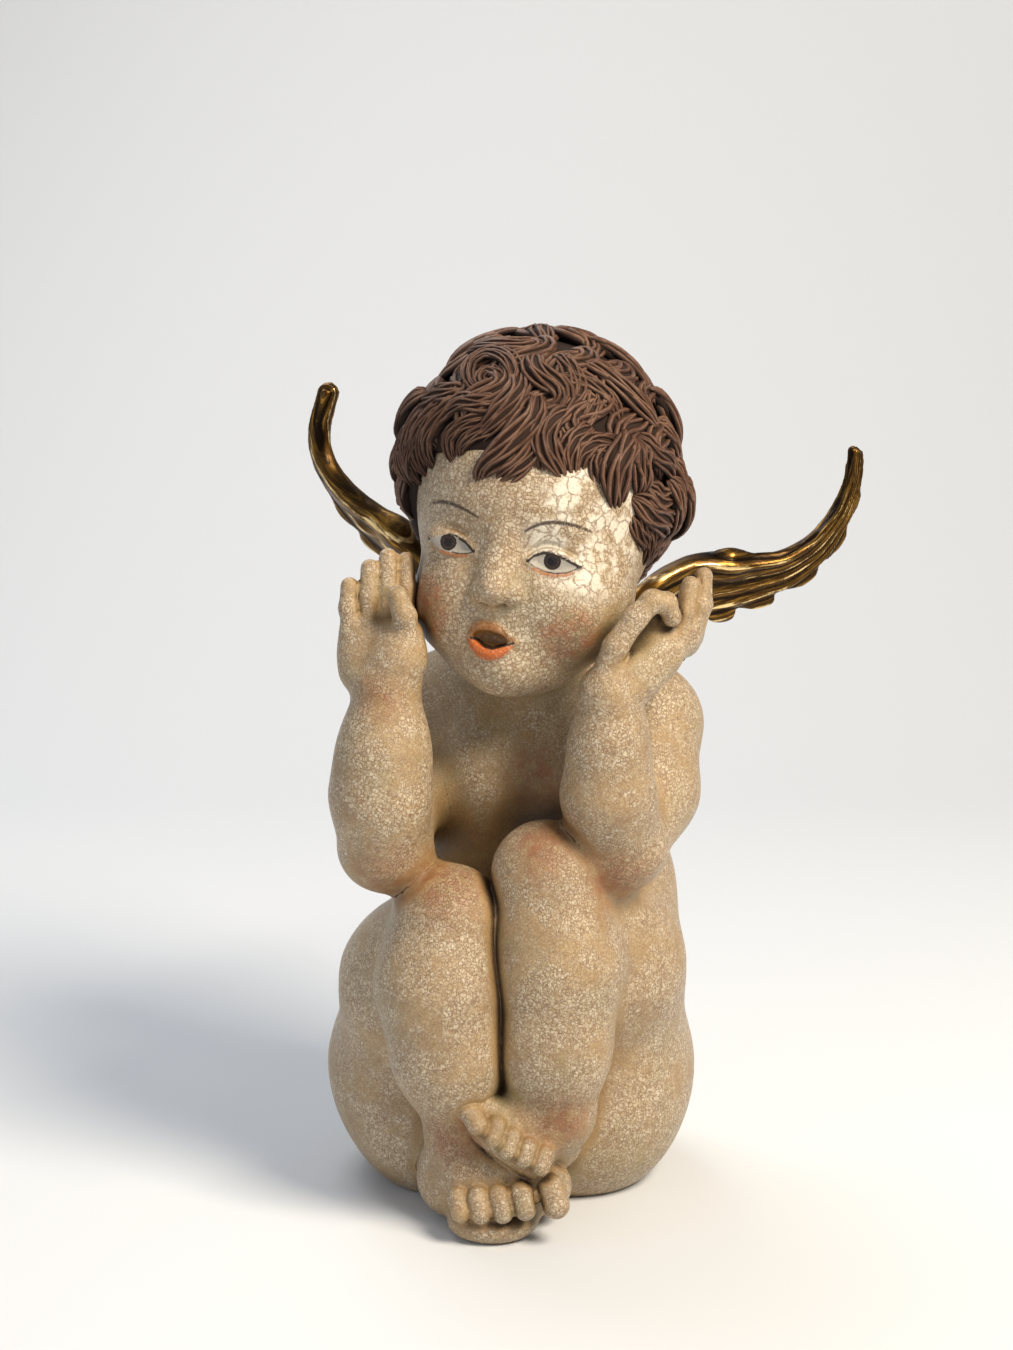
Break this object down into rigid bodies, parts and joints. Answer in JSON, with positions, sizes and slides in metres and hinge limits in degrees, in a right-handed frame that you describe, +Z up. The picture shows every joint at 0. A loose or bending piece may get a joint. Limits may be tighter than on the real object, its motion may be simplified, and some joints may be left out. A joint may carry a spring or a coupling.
{
  "type": "cherub statue",
  "caption": "Seated winged cherub in carved, painted wood, chin held up between its hands and knees drawn up, with gilded wings; a figure to stand on a shelf or table.",
  "frame": {"origin": "middle of the seat's underside, on the plane the statue stands on", "axes": "+Z up to the crown of the head; the figure looks along -Y; +X on the viewer's right, which is the figure's left"},
  "size_m": [0.1892, 0.143, 0.2807],
  "materials": {
    "painted_wood": "ivory paint, finely crackled over a brown glaze, satin; the hair brown with paler ridges",
    "gilded_wood": "dark antique gold, rubbed bright on the ridges"
  },
  "bodies": {
    "root": {"figure": "painted_wood", "right_wing": "gilded_wood", "left_wing": "gilded_wood"}
  },
  "joints": []
}
